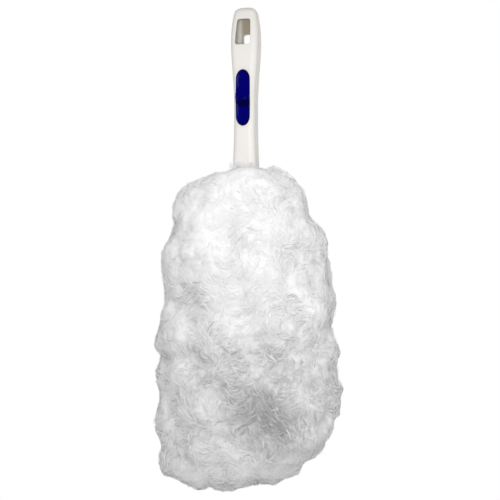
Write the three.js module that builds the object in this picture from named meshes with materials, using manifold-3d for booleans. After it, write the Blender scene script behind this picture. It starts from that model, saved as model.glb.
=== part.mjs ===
// A hand duster: a clamshell handle with a thumb slide, and a fleece sleeve on a flat blade.
// Millimetres, +Z up along the handle, the thumb slide faces -Y.
// The origin is the peg seat of the hanging eye.
import * as THREE from "three";
import { mergeVertices } from "three/addons/utils/BufferGeometryUtils.js";
import Module from "manifold-3d";

// Fits
const gap = 0.3; // between neighbouring pieces
const seamGap = 0.3; // between the two handle shells
const neckClearance = 0.6; // round the handle inside the pile

// Handle, measured from the peg seat
const tipAboveSeat = 23;
const handleLength = 157;
const hangWidth = 25.6;
const waistWidth = 19.4;
const neckWidth = 22.4;
const tipWidth = 18.6;
const gripDepth = 19;
const tipDepth = 14;
const edgeRadius = 5;
const tipRadius = 5;
const shellWall = 2.2;
const seamAhead = 2; // the seam lies ahead of the middle
const hangBelowSeat = 5.7; // where the handle is widest
const waistBelowSeat = 63; // where the waist begins
const waistAboveEnd = 49; // where the waist ends, above the socket end
const gripBelowSeat = 20; // where the full depth begins

// Hanging window in the front shell and hanging eye in the rear shell
const windowTopWidth = 12.2;
const windowFootWidth = 14.6;
const windowLean = 0.9; // the foot of the window lies to the left
const windowAboveSeat = 12.2;
const windowHeight = 22.7;
const windowRadius = 2.4;
const eyeWidth = 8.8;
const eyeHeight = 11;
const eyeRadius = 2.6;
const eyeRimWall = 1.6;
const eyeRimHeight = 2;

// Thumb slide
const slideWidth = 12.8;
const slideLength = 50.2;
const slideBelowSeat = 58.5; // middle of the slide at rest
const slideEndRise = 9; // height of each rounded end
const slideRim = 2.4; // rim above the shell
const slideDish = 1.2; // dish below the rim
const slideRidge = 2.6; // thumb ridge above the dish
const ridgeOffset = -2; // ridge against the middle
const ridgeRunUp = 5; // how far the ridge runs out upwards
const ridgeRunDown = 3.2;
const ridgeCrown = 0.35; // share by which the ridge is lower at its sides
const slideEdgeFrom = 0.9; // where the rounded edge begins, as a share of the way out
const slideEdgeDrop = 0.6;
const slideTravel = 10;
const stemWidth = 6.6;
const stemLength = 12;

// Release bar and its return spring
const barWidth = 10.4;
const barLength = 19;
const barBack = 1.5; // rear face of the block behind the middle
const barPocket = 3.6; // depth of the stem pocket
const rodRadius = 2;
const wedgeThickness = 1.4;
const wedgeWidth = 4;
const wedgeLead = 1; // cut corners of the wedge
const wedgeOverlap = 3; // how far the wedge runs up the rod
const wedgeAboveTongue = 0.8;
const springWire = 0.9;
const springCoils = 7;
const springClearance = 0.6; // between rod and coil
const guideAboveEnd = 40; // guide rib above the socket end
const guideThickness = 2.5;

// Screws
const screwRadius = 1.3;
const screwHeadRadius = 2.2;
const screwHeadHeight = 1.5;
const screwRecess = 1.1;
const screwEdge = 0.4; // cut edge of the head
const crossArm = 0.7; // half length of the cross, as a share of the head's radius
const crossSlit = 0.35; // half width of the cross
const crossDepth = 0.9;
const bossRadius = 3;
const upperScrewBelowSeat = 17.5;
const lowerScrewAboveEnd = 30;
const lowerScrewSpacing = 11.2;

// Socket bush, latch leaf and the blade that plugs in
const bushLength = 20;
const bushRibHeight = 2.4;
const bushRibDepth = 1.2;
const bushRibAboveEnd = 8;
const tongueWidth = 14;
const tongueLength = 22;
const bladeThickness = 5;
const bladeWidth = 34;
const bladeShoulder = 12; // height of the flare under the tongue
const bladeFlareEase = 3; // how softly the flare starts and ends
const bladeTipRadius = 14;
const bladeSlotWidth = 6;
const bladeSlotTop = 14; // slots start below the flare
const bladeSlotFoot = 26; // and end above the tip
const bladeBridge = 12; // between two slots
const tongueLead = 1.5; // cut corners of the tongue
const leafWidth = 5;
const leafThickness = 0.5;
const leafFootAboveEnd = 3;
const leafBendAboveEnd = 8;
const leafBow = 0.9; // how far the leaf has bent in below its nose
const leafBowBelowNose = 4;
const leafLipAboveNose = 2.4;
const leafNoseAboveEnd = 15;
const leafNoseDepth = 0.5; // nose below the tongue face
const notchRadius = 3;

// Fleece sleeve
const headLength = 293;
const headAboveEnd = 15; // top of the pile above the socket end
const headWidth = 167;
const headDepth = 100;
const pileEndDepth = 18; // depth at the very top and foot
const pileEndReach = 50; // how far the rounded ends reach in
const pileFullness = 4.5; // how soon the pile reaches its full depth
const pileSquareness = 0.88; // 1 for an oval section, less for a squarer one
const pileRings = 55; // rings of points from the foot to the top
const pilePoints = 54; // points round each ring
const ringCrowding = 0.05; // rings lie closer together at both ends
const tuftRows = 9; // rows of tufts down the pile
const tuftsAround = 12;
const tuftReach = 26; // radius of one tuft
const tuftHeight = 8;
const tuftHeightStray = 0.2; // tufts differ in height and place, as shares
const tuftStrayDown = 0.25;
const tuftStrayAround = 0.3;
const tuftSink = 4.2; // valleys between tufts below the outline
const tuftEdgeShare = 0.4; // tufts are lower at the left and right edges
const dentAcross = 20; // hollow in the front of the pile
const dentBelowTop = 226;
const dentReach = 42;
const dentDepth = 17;
const foldBelowTop = 167; // fold across the front, measured in the middle
const foldSlope = 0.14; // rises to the right
const foldReach = 15;
const foldDepth = 6;
const bladeFromFoot = 27; // blade tip above the foot of the pile
const mouthBelowEnd = 10; // sleeve mouth below the socket end
const liningWall = 1;
const liningClearance = 0.6;
const bindingHeight = 9;
const bindingWall = 1.2;
const tubeEdge = 1.2; // eased edges of the lining and the binding
const tubeInnerEdge = 0.6;
const seamTapeWidth = 4;
const seamTapeThickness = 1;

// Heights that follow from the sizes above
const tipZ = tipAboveSeat;
const socketZ = tipZ - handleLength;
const hangZ = -hangBelowSeat;
const waistZ = -waistBelowSeat;
const waistEndZ = Math.min(socketZ + waistAboveEnd, waistZ - 1);
const gripZ = -gripBelowSeat;
const seamY = -seamAhead;
const frontY = -gripDepth / 2;
const innerFrontY = frontY + shellWall;
const slideZ = -slideBelowSeat;
const barFrontY = innerFrontY + gap;
const barTopZ = slideZ + barLength / 2;
const barFootZ = slideZ - barLength / 2;
const guideTopZ = socketZ + guideAboveEnd + guideThickness;
const bushTopZ = socketZ + bushLength;
const tongueTopZ = socketZ + tongueLength;
const wedgeBackY = -bladeThickness / 2 - gap;
const rodY = wedgeBackY - wedgeThickness + rodRadius;
const rodFootZ = tongueTopZ + slideTravel + 1;
const wedgeFootZ = tongueTopZ + wedgeAboveTongue;
const headTopZ = socketZ + headAboveEnd;
const headFootZ = headTopZ - headLength;
const bladeTipZ = headFootZ + bladeFromFoot;
const mouthZ = socketZ - mouthBelowEnd;
const liningHoleWidth = bladeWidth + 2 * liningClearance;
const liningHoleDepth = bladeThickness + 2 * liningClearance;
const liningWidth = liningHoleWidth + 2 * liningWall;
const liningDepth = liningHoleDepth + 2 * liningWall;
const liningFootZ = bladeTipZ - liningClearance - liningWall;

const wasm = await Module();
wasm.setup();

// A solid for joining and cutting, from a closed geometry
function solid(geometry) {
  const bare = geometry.clone();
  bare.deleteAttribute("normal");
  bare.deleteAttribute("uv");
  const merged = mergeVertices(bare, 1e-4);
  const corners = merged.index.array;
  const kept = [];
  for (let i = 0; i < corners.length; i += 3) {
    const [a, b, c] = [corners[i], corners[i + 1], corners[i + 2]];
    if (a !== b && b !== c && c !== a) kept.push(a, b, c);
  }
  const mesh = new wasm.Mesh({
    numProp: 3,
    vertProperties: new Float32Array(merged.attributes.position.array),
    triVerts: new Uint32Array(kept),
  });
  return new wasm.Manifold(mesh);
}

// A closed geometry with its normals, from a solid
function geometryOf(shape) {
  const mesh = shape.getMesh();
  const geometry = new THREE.BufferGeometry();
  geometry.setAttribute("position", new THREE.BufferAttribute(new Float32Array(mesh.vertProperties), 3));
  geometry.setIndex(new THREE.BufferAttribute(new Uint32Array(mesh.triVerts), 1));
  geometry.computeVertexNormals();
  return geometry;
}

function block(x0, x1, y0, y1, z0, z1) {
  const geometry = new THREE.BoxGeometry(x1 - x0, y1 - y0, z1 - z0);
  return solid(geometry.translate((x0 + x1) / 2, (y0 + y1) / 2, (z0 + z1) / 2));
}

// A plate whose outline is drawn in x and z
function plate(outline, yFront, yRear) {
  const geometry = new THREE.ExtrudeGeometry(outline, {
    depth: yRear - yFront,
    bevelEnabled: false,
    curveSegments: 7,
  });
  return solid(geometry.rotateX(Math.PI / 2).translate(0, yRear, 0));
}

// A round bar along y or z
function roundBar(radius, from, to, x, other, along) {
  const geometry = new THREE.CylinderGeometry(radius, radius, to - from, 24);
  if (along === "y") return solid(geometry.translate(x, (from + to) / 2, other));
  return solid(geometry.rotateX(Math.PI / 2).translate(x, other, (from + to) / 2));
}

function roundedRect(width, z0, z1, radius) {
  const half = width / 2;
  const r = Math.min(radius, half, (z1 - z0) / 2);
  const outline = new THREE.Shape();
  outline.absarc(half - r, z1 - r, r, 0, Math.PI / 2);
  outline.absarc(r - half, z1 - r, r, Math.PI / 2, Math.PI);
  outline.absarc(r - half, z0 + r, r, Math.PI, 1.5 * Math.PI);
  outline.absarc(half - r, z0 + r, r, 1.5 * Math.PI, 2 * Math.PI);
  return outline;
}

// A polygon with its corners rounded
function roundedPolygon(corners, radius) {
  const outline = new THREE.Shape();
  corners.forEach((corner, i) => {
    const before = corners[(i + corners.length - 1) % corners.length];
    const after = corners[(i + 1) % corners.length];
    const start = corner.clone().add(before.clone().sub(corner).setLength(radius));
    const end = corner.clone().add(after.clone().sub(corner).setLength(radius));
    if (i === 0) outline.moveTo(start.x, start.y);
    else outline.lineTo(start.x, start.y);
    outline.quadraticCurveTo(corner.x, corner.y, end.x, end.y);
  });
  return outline;
}

// A closed skin over rings of equal length, listed from the lowest to the highest
function loft(rings) {
  const count = rings[0].length;
  const points = rings.flat();
  const faces = [];
  for (let i = 0; i + 1 < rings.length; i += 1) {
    for (let j = 0; j < count; j += 1) {
      const next = (j + 1) % count;
      const [a, b] = [i * count + j, i * count + next];
      const [c, d] = [b + count, a + count];
      faces.push(a, b, c, a, c, d);
    }
  }
  const middle = (ring) => ring.reduce((sum, p) => sum.add(p), new THREE.Vector3()).divideScalar(count);
  const low = points.push(middle(rings[0])) - 1;
  const high = points.push(middle(rings[rings.length - 1])) - 1;
  const last = (rings.length - 1) * count;
  for (let j = 0; j < count; j += 1) {
    const next = (j + 1) % count;
    faces.push(low, next, j);
    faces.push(high, last + j, last + next);
  }
  const geometry = new THREE.BufferGeometry().setFromPoints(points);
  return solid(geometry.setIndex(faces));
}

function roundedRing(halfWidth, halfDepth, radius, z) {
  const ring = [];
  const steps = 5;
  for (let corner = 0; corner < 4; corner += 1) {
    const sideX = corner === 0 || corner === 3 ? 1 : -1;
    const sideY = corner < 2 ? 1 : -1;
    for (let i = 0; i <= steps; i += 1) {
      const angle = ((corner + i / steps) * Math.PI) / 2;
      const x = sideX * (halfWidth - radius) + radius * Math.cos(angle);
      const y = sideY * (halfDepth - radius) + radius * Math.sin(angle);
      ring.push(new THREE.Vector3(x, y, z));
    }
  }
  return ring;
}

const { clamp, lerp } = THREE.MathUtils;
const share = (z, from, to) => clamp((z - from) / (to - from), 0, 1);
const ease = (t) => t * t * (3 - 2 * t);

function handleHalfWidth(z) {
  if (z > hangZ) return lerp(hangWidth, tipWidth, share(z, hangZ, tipZ) ** 2) / 2;
  if (z > waistEndZ) return lerp(hangWidth, waistWidth, ease(share(z, hangZ, waistZ))) / 2;
  return lerp(waistWidth, neckWidth, ease(share(z, waistEndZ, socketZ))) / 2;
}

function handleHalfDepth(z) {
  return lerp(gripDepth, tipDepth, share(z, gripZ, tipZ) ** 2) / 2;
}

// The handle's outside, or the same form set in by a wall
function handleForm(inset, fromZ, toZ) {
  const top = tipZ - inset;
  const round = Math.max(tipRadius - inset, 0.5);
  const heights = [];
  const straightTop = Math.min(toZ, top - round);
  const count = Math.max(2, Math.ceil((straightTop - fromZ) / 9));
  for (let i = 0; i <= count; i += 1) heights.push([lerp(fromZ, straightTop, i / count), 0]);
  if (toZ > straightTop) {
    for (let i = 1; i <= 5; i += 1) {
      const angle = (i * Math.PI) / 10;
      heights.push([straightTop + round * Math.sin(angle), round * (1 - Math.cos(angle))]);
    }
  }
  const corner = Math.max(edgeRadius - inset, 0.8);
  const rings = heights.map(([z, drawnIn]) => {
    const halfWidth = handleHalfWidth(z) - inset - drawnIn;
    const halfDepth = handleHalfDepth(z) - inset - drawnIn;
    return roundedRing(halfWidth, halfDepth, Math.min(corner, halfDepth - 0.2, halfWidth - 0.2), z);
  });
  return loft(rings);
}

const rearAtSeat = handleHalfDepth(0);
const seatY = rearAtSeat - (shellWall + eyeRimHeight) / 2;
const far = 400; // longer than any piece
const screws = [
  { name: "shell_screw_upper", x: 0, z: -upperScrewBelowSeat },
  { name: "shell_screw_left", x: -lowerScrewSpacing / 2, z: socketZ + lowerScrewAboveEnd },
  { name: "shell_screw_right", x: lowerScrewSpacing / 2, z: socketZ + lowerScrewAboveEnd },
];

// Both shells as one form, before the seam parts them
function handleBody() {
  const outside = handleForm(0, socketZ, tipZ);
  let body = outside.subtract(handleForm(shellWall, socketZ - 1, tipZ));

  // guide rib for the release rod
  const guide = block(-far, far, -far, far, guideTopZ - guideThickness, guideTopZ);
  const rodHole = roundBar(rodRadius + 2 * gap, guideTopZ - far, guideTopZ + far, 0, rodY, "z");
  body = body.add(outside.intersect(guide).subtract(rodHole));

  // rib that keeps the bush in
  const ribZ = socketZ + bushRibAboveEnd;
  const ribBand = block(-far, far, -far, far, ribZ, ribZ + bushRibHeight);
  const ribHole = handleForm(shellWall + bushRibDepth, socketZ - 1, bushTopZ);
  const leafWay = block(-leafWidth / 2 - gap, leafWidth / 2 + gap, -far, 0, socketZ, bushTopZ);
  body = body.add(outside.intersect(ribBand).subtract(ribHole).subtract(leafWay));

  // screw posts
  for (const { x, z } of screws) {
    body = body.add(roundBar(bossRadius, -far, far, x, z, "y").intersect(outside));
  }

  // rim of the hanging eye
  const rimInner = rearAtSeat - shellWall - eyeRimHeight;
  const rim = roundedRect(
    eyeWidth + 2 * eyeRimWall,
    -eyeHeight - eyeRimWall,
    eyeRimWall,
    eyeRadius + eyeRimWall,
  );
  body = body.add(plate(rim, rimInner, far).intersect(outside));

  // window, eye and slide slot
  const windowTop = windowAboveSeat;
  const windowFoot = windowAboveSeat - windowHeight;
  const window = roundedPolygon(
    [
      new THREE.Vector2(-windowTopWidth / 2, windowTop),
      new THREE.Vector2(-windowFootWidth / 2 - windowLean, windowFoot),
      new THREE.Vector2(windowFootWidth / 2 - windowLean, windowFoot),
      new THREE.Vector2(windowTopWidth / 2, windowTop),
    ],
    windowRadius,
  );
  body = body.subtract(plate(window, -far, seamY));
  body = body.subtract(plate(roundedRect(eyeWidth, -eyeHeight, 0, eyeRadius), seamY, far));
  const slotTop = slideZ + stemLength / 2 + gap;
  const slotFoot = slideZ - stemLength / 2 - slideTravel - gap;
  const stemSlot = roundedRect(stemWidth + 2 * gap, slotFoot, slotTop, 1);
  body = body.subtract(plate(stemSlot, -far, innerFrontY + 0.5));

  // screw holes from the rear
  for (const { x, z } of screws) {
    const rear = handleHalfDepth(z);
    const headFoot = rear - screwRecess - screwHeadHeight - gap;
    body = body.subtract(roundBar(screwRadius + gap, innerFrontY, far, x, z, "y"));
    body = body.subtract(roundBar(screwHeadRadius + gap, headFoot, far, x, z, "y"));
  }
  return body;
}

// A screw along y with its head at the rear
function screw(x, z, headY, footY) {
  const profile = [
    new THREE.Vector2(0, footY),
    new THREE.Vector2(screwRadius * 0.5, footY),
    new THREE.Vector2(screwRadius, footY + screwRadius),
    new THREE.Vector2(screwRadius, headY - screwHeadHeight),
    new THREE.Vector2(screwHeadRadius, headY - screwHeadHeight),
    new THREE.Vector2(screwHeadRadius, headY - screwEdge),
    new THREE.Vector2(screwHeadRadius - screwEdge, headY),
    new THREE.Vector2(0, headY),
  ];
  let body = solid(new THREE.LatheGeometry(profile, 20).translate(x, 0, z));
  const arm = screwHeadRadius * crossArm;
  const slit = crossSlit;
  const floor = headY - crossDepth;
  body = body.subtract(block(x - arm, x + arm, floor, headY + 1, z - slit, z + slit));
  return body.subtract(block(x - slit, x + slit, floor, headY + 1, z - arm, z + arm));
}

// Outline of the slide seen from the front, about its own middle
function slideOutline() {
  const straight = slideLength / 2 - slideEndRise;
  const outline = new THREE.Shape();
  outline.absellipse(0, straight, slideWidth / 2, slideEndRise, 0, Math.PI);
  outline.absellipse(0, -straight, slideWidth / 2, slideEndRise, Math.PI, 2 * Math.PI);
  return outline.getSpacedPoints(48).slice(0, -1);
}

// Height of the slide's face above the shell
function slideHeight(x, z, out) {
  const dish = slideRim - slideDish * (1 - out ** 4);
  const away = (z - ridgeOffset) / (z > ridgeOffset ? ridgeRunUp : ridgeRunDown);
  const ridge = slideRidge * Math.exp(-away * away) * (1 - ridgeCrown * ((2 * x) / slideWidth) ** 2);
  const edge = slideEdgeDrop * share(out, slideEdgeFrom, 1) ** 2;
  return dish + ridge - edge;
}

function thumbSlide() {
  const outline = slideOutline();
  const under = frontY - gap;
  const ring = (out, height) =>
    outline.map((p) => {
      const y = height === null ? frontY - slideHeight(p.x * out, p.y * out, out) : height;
      return new THREE.Vector3(p.x * out, y, slideZ + p.y * out);
    });
  const rings = [ring(1, under)];
  for (const out of [1, 0.96, 0.9, 0.8, 0.65, 0.45, 0.25, 0.1]) rings.push(ring(out, null));
  const cap = loft(rings);
  const stemBack = barFrontY + barPocket - gap;
  const half = stemWidth / 2;
  const stem = block(-half, half, frontY - 1, stemBack, slideZ - stemLength / 2, slideZ + stemLength / 2);
  return cap.add(stem).subtract(roundBar(screwRadius + gap, frontY + 1, 0, 0, slideZ, "y"));
}

function releaseBar() {
  const half = barWidth / 2;
  let body = block(-half, half, barFrontY, barBack, barFootZ, barTopZ);
  const pocketHalf = stemWidth / 2 + gap;
  const pocketRise = stemLength / 2 + gap;
  const pocketFloor = barFrontY + barPocket;
  body = body.subtract(
    block(-pocketHalf, pocketHalf, -far, pocketFloor, slideZ - pocketRise, slideZ + pocketRise),
  );
  body = body.subtract(roundBar(screwRadius + gap, pocketFloor - 1, far, 0, slideZ, "y"));
  body = body.subtract(roundBar(screwHeadRadius + gap, barBack - screwHeadHeight - gap, far, 0, slideZ, "y"));
  body = body.add(roundBar(rodRadius, rodFootZ, barFootZ + 1, 0, rodY, "z"));
  const wedge = new THREE.Shape();
  wedge.moveTo(-wedgeWidth / 2, rodFootZ + wedgeOverlap);
  wedge.lineTo(-wedgeWidth / 2, wedgeFootZ + wedgeLead);
  wedge.lineTo(-wedgeWidth / 4, wedgeFootZ);
  wedge.lineTo(wedgeWidth / 4, wedgeFootZ);
  wedge.lineTo(wedgeWidth / 2, wedgeFootZ + wedgeLead);
  wedge.lineTo(wedgeWidth / 2, rodFootZ + wedgeOverlap);
  return body.add(plate(wedge, wedgeBackY - wedgeThickness, wedgeBackY));
}

// One unbroken tube that winds down from the bar to the guide rib
class Coil extends THREE.Curve {
  getPoint(t) {
    const radius = rodRadius + springClearance + springWire / 2;
    const angle = 2 * Math.PI * springCoils * t;
    const top = barFootZ - gap - springWire / 2 - 0.1;
    const foot = guideTopZ + gap + springWire / 2 + 0.1;
    return new THREE.Vector3(radius * Math.cos(angle), rodY + radius * Math.sin(angle), lerp(top, foot, t));
  }
}

function returnSpring() {
  const coil = new Coil();
  const steps = springCoils * 8;
  const section = new THREE.Shape();
  for (let i = 0; i < 5; i += 1) {
    const angle = (i * 2 * Math.PI) / 5;
    const [x, y] = [(springWire / 2) * Math.cos(angle), (springWire / 2) * Math.sin(angle)];
    if (i === 0) section.moveTo(x, y);
    else section.lineTo(x, y);
  }
  let least = Infinity;
  const points = Array.from({ length: steps + 1 }, (_, i) => coil.getPoint(i / steps));
  for (let i = 0; i <= steps; i += 1) {
    for (let j = i + 4; j <= steps; j += 1) least = Math.min(least, points[i].distanceTo(points[j]));
  }
  console.log("least gap between coils, mm:", (least - springWire).toFixed(2));
  return solid(new THREE.ExtrudeGeometry(section, { steps, bevelEnabled: false, extrudePath: coil }));
}

function socketBush() {
  const outside = shellWall + gap;
  let body = handleForm(outside, socketZ, bushTopZ);
  const groove = block(
    -far,
    far,
    -far,
    far,
    socketZ + bushRibAboveEnd - gap,
    socketZ + bushRibAboveEnd + bushRibHeight + gap,
  ).subtract(handleForm(outside + bushRibDepth + gap - 0.05, socketZ - 1, bushTopZ + 1));
  body = body.subtract(groove);
  const halfBore = tongueWidth / 2 + gap;
  const boreDepth = bladeThickness / 2 + gap;
  body = body.subtract(block(-halfBore, halfBore, -boreDepth, boreDepth, socketZ - 1, bushTopZ + 1));
  const leafHalf = leafWidth / 2 + gap;
  return body.subtract(block(-leafHalf, leafHalf, -far, 0, socketZ + leafFootAboveEnd, bushTopZ + 1));
}

// Steel leaf whose nose sits in the tongue's notch
function latchLeaf() {
  const footY = innerFrontY + gap + 0.2;
  const noseY = -bladeThickness / 2 + leafNoseDepth - leafThickness;
  const noseZ = socketZ + leafNoseAboveEnd;
  const lipY = wedgeBackY - wedgeThickness - gap - leafThickness;
  const path = new THREE.CatmullRomCurve3(
    [
      new THREE.Vector3(footY, socketZ + leafFootAboveEnd + gap, 0),
      new THREE.Vector3(footY, socketZ + leafBendAboveEnd, 0),
      new THREE.Vector3(footY + leafBow, noseZ - leafBowBelowNose, 0),
      new THREE.Vector3(noseY, noseZ, 0),
      new THREE.Vector3((noseY + lipY) / 2, noseZ + leafLipAboveNose, 0),
      new THREE.Vector3(lipY, tongueTopZ - 1, 0),
    ],
    false,
    "centripetal",
  );
  const steps = 28;
  const points = path.getPoints(steps);
  const outline = new THREE.Shape();
  const back = [];
  points.forEach((p, i) => {
    const along = path.getTangent(i / steps);
    back.unshift(new THREE.Vector2(p.x + along.y * leafThickness, p.y - along.x * leafThickness));
    if (i === 0) outline.moveTo(p.x, p.y);
    else outline.lineTo(p.x, p.y);
  });
  back.forEach((p) => outline.lineTo(p.x, p.y));
  const geometry = new THREE.ExtrudeGeometry(outline, { depth: leafWidth, bevelEnabled: false });
  geometry.translate(0, 0, -leafWidth / 2);
  // drawn with depth as x and height as y, so turned a third of a turn about the diagonal
  const turn = new THREE.Matrix4().set(0, 0, 1, 0, 1, 0, 0, 0, 0, 1, 0, 0, 0, 0, 0, 1);
  return solid(geometry.applyMatrix4(turn));
}

function bladeFrame() {
  const halfTongue = tongueWidth / 2;
  const half = bladeWidth / 2;
  const shoulderZ = socketZ - gap;
  const flareZ = shoulderZ - bladeShoulder;
  const easeTopZ = shoulderZ - bladeFlareEase;
  const easeFootZ = flareZ + bladeFlareEase;
  const tip = Math.min(bladeTipRadius, half);
  const outline = new THREE.Shape();
  outline.moveTo(halfTongue - tongueLead, tongueTopZ);
  outline.lineTo(tongueLead - halfTongue, tongueTopZ);
  outline.lineTo(-halfTongue, tongueTopZ - tongueLead);
  outline.lineTo(-halfTongue, shoulderZ);
  outline.bezierCurveTo(-halfTongue, easeFootZ, -half, easeTopZ, -half, flareZ);
  outline.lineTo(-half, bladeTipZ + tip);
  outline.absarc(tip - half, bladeTipZ + tip, tip, Math.PI, 1.5 * Math.PI);
  outline.absarc(half - tip, bladeTipZ + tip, tip, 1.5 * Math.PI, 2 * Math.PI);
  outline.lineTo(half, flareZ);
  outline.bezierCurveTo(half, easeTopZ, halfTongue, easeFootZ, halfTongue, shoulderZ);
  outline.lineTo(halfTongue, tongueTopZ - tongueLead);
  let body = plate(outline, -bladeThickness / 2, bladeThickness / 2);

  // three slots that lighten the blade and let it bend
  const slotsTop = flareZ - bladeSlotTop;
  const slotsFoot = bladeTipZ + bladeSlotFoot;
  const slotPitch = (slotsTop - slotsFoot) / 3;
  for (let i = 0; i < 3; i += 1) {
    const foot = slotsFoot + i * slotPitch + bladeBridge / 2;
    const slot = roundedRect(bladeSlotWidth, foot, foot + slotPitch - bladeBridge, bladeSlotWidth / 2);
    body = body.subtract(plate(slot, -far, far));
  }

  // notch for the latch
  const noseZ = socketZ + leafNoseAboveEnd;
  const depth = leafNoseDepth + gap;
  const notch = new THREE.CylinderGeometry(notchRadius, notchRadius, 2 * tongueWidth, 32);
  notch.rotateZ(Math.PI / 2).translate(0, -bladeThickness / 2 - notchRadius + depth, noseZ);
  return body.subtract(solid(notch));
}

// A flat tube along z with eased edges, or a solid bar where the wall is nought
function flatTube(width, depth, wall, fromZ, toZ) {
  const bar = (halfWidth, halfDepth, edge, z0, z1) =>
    loft([roundedRing(halfWidth, halfDepth, edge, z0), roundedRing(halfWidth, halfDepth, edge, z1)]);
  const outside = bar(width / 2, depth / 2, tubeEdge, fromZ, toZ);
  if (wall === 0) return outside;
  return outside.subtract(bar(width / 2 - wall, depth / 2 - wall, tubeInnerEdge, fromZ - 1, toZ + 1));
}

function sleeveLining() {
  const tube = flatTube(liningWidth, liningDepth, liningWall, liningFootZ, mouthZ);
  const foot = flatTube(liningWidth, liningDepth, 0, liningFootZ, liningFootZ + liningWall);
  return tube.add(foot);
}

const bindingInner = { width: liningWidth + 2 * gap, depth: liningDepth + 2 * gap };
const bindingOuter = {
  width: bindingInner.width + 2 * bindingWall,
  depth: bindingInner.depth + 2 * bindingWall,
};
const bindingFootZ = mouthZ - bindingHeight;

function mouthBinding() {
  return flatTube(bindingOuter.width, bindingOuter.depth, bindingWall, bindingFootZ, mouthZ);
}

// U-shaped tape round the lining, in the middle plane
function seamTape(spare) {
  const half = liningWidth / 2 + gap;
  const out = half + seamTapeWidth;
  const foot = liningFootZ - gap;
  const top = bindingFootZ - 1;
  const outer = roundedRect(2 * (out + spare), foot - seamTapeWidth - spare, top + spare, seamTapeWidth);
  const inner = block(spare - half, half - spare, -far, far, foot + spare, far);
  const reach = seamTapeThickness / 2 + spare;
  return plate(outer, -reach, reach).subtract(inner);
}

// Pile outline: how far down, then how far to the left and to the right, as shares of the head's size
const pileOutline = [
  [0, -0.12, 0.31],
  [0.018, -0.24, 0.42],
  [0.032, -0.46, 0.49],
  [0.085, -0.75, 0.63],
  [0.14, -0.81, 0.68],
  [0.175, -0.79, 0.76],
  [0.21, -0.85, 0.87],
  [0.29, -0.94, 0.9],
  [0.34, -0.93, 0.93],
  [0.39, -0.88, 0.98],
  [0.435, -0.93, 0.98],
  [0.48, -0.96, 0.92],
  [0.555, -1.01, 1.02],
  [0.585, -0.95, 1.01],
  [0.61, -0.98, 0.98],
  [0.655, -1.01, 1.01],
  [0.705, -0.95, 1.05],
  [0.79, -1, 0.98],
  [0.855, -0.93, 0.85],
  [0.89, -0.97, 0.75],
  [0.915, -0.96, 0.61],
  [0.94, -0.91, 0.54],
  [0.965, -0.74, 0.38],
  [0.98, -0.62, 0.24],
  [0.988, -0.57, -0.02],
  [1, -0.3, -0.12],
];

const pileRows = pileOutline.map(([down, left, right]) => new THREE.Vector3(down, left, right));
const pileEdges = new THREE.CatmullRomCurve3(pileRows, false, "centripetal").getPoints(120);

// Level section of the plain pile, by how far down it lies
function pileSection(down) {
  const from = pileEdges.findLast((row) => row.x <= down) ?? pileEdges[0];
  const to = pileEdges.find((row) => row.x > down) ?? from;
  const edge = to === from ? from : from.clone().lerp(to, share(down, from.x, to.x));
  const bulge = Math.sqrt(Math.max(1 - Math.abs(2 * down - 1) ** pileFullness, 0));
  return {
    z: headTopZ - headLength * down,
    middle: ((edge.y + edge.z) * headWidth) / 4,
    halfWidth: ((edge.z - edge.y) * headWidth) / 4,
    halfDepth: lerp(pileEndDepth, headDepth, bulge) / 2,
  };
}

function pilePoint({ z, middle, halfWidth, halfDepth }, angle) {
  const squared = (part) => Math.sign(part) * Math.abs(part) ** pileSquareness;
  const x = middle + halfWidth * squared(Math.cos(angle));
  return new THREE.Vector3(x, halfDepth * squared(Math.sin(angle)), z);
}

// Rows of tufts, staggered and a little out of line
function tuftPlaces() {
  const stray = (n) => Math.sin(37.7 * n * n + 1.3 * n);
  const places = [];
  for (let row = 0; row < tuftRows; row += 1) {
    for (let k = 0; k < tuftsAround; k += 1) {
      const n = row * tuftsAround + k;
      const down = (row + 0.5 + tuftStrayDown * stray(n)) / tuftRows;
      const turn = (k + (row % 2) / 2 + tuftStrayAround * stray(n + 0.5)) / tuftsAround;
      const height = tuftHeight * (1 - tuftHeightStray + tuftHeightStray * stray(n + 0.25));
      places.push({ middle: pilePoint(pileSection(down), 2 * Math.PI * turn), height });
    }
  }
  return places;
}

// How deep the front of the pile is pressed in, by its hollow and by its slanting fold
function frontHollow({ x, z }) {
  const away = Math.hypot(x - dentAcross, z - headTopZ + dentBelowTop) / dentReach;
  const dent = dentDepth * Math.max(1 - away ** 2, 0) ** 2;
  const foldZ = headTopZ - foldBelowTop + foldSlope * x;
  const fold = foldDepth * Math.exp(-(((z - foldZ) / foldReach) ** 2));
  return dent + fold;
}

// The pile with each point raised to the tallest tuft over it, and the front pressed in
function pileForm() {
  const tufts = tuftPlaces();
  const rings = Array.from({ length: pileRings + 1 }, (_, i) => {
    const level = i / pileRings;
    const section = pileSection(level - ringCrowding * Math.sin(2 * Math.PI * level));
    return Array.from({ length: pilePoints }, (_, j) => {
      const point = pilePoint(section, (2 * Math.PI * j) / pilePoints);
      const spineZ = clamp(point.z, headFootZ + pileEndReach, headTopZ - pileEndReach);
      const out = new THREE.Vector3(
        (point.x - section.middle) / section.halfWidth ** 2,
        point.y / section.halfDepth ** 2,
        (point.z - spineZ) / pileEndReach ** 2,
      ).normalize();
      const heights = tufts.map(({ middle, height }) => {
        return height * (1 - middle.distanceToSquared(point) / tuftReach ** 2);
      });
      const facing = Math.abs(out.y);
      const tuft = (Math.max(0, ...heights) - tuftSink) * lerp(tuftEdgeShare, 1, facing);
      const hollow = out.y < 0 ? facing * frontHollow(point) : 0;
      return point.addScaledVector(out, tuft - hollow);
    });
  });
  return loft(rings.reverse());
}

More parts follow.
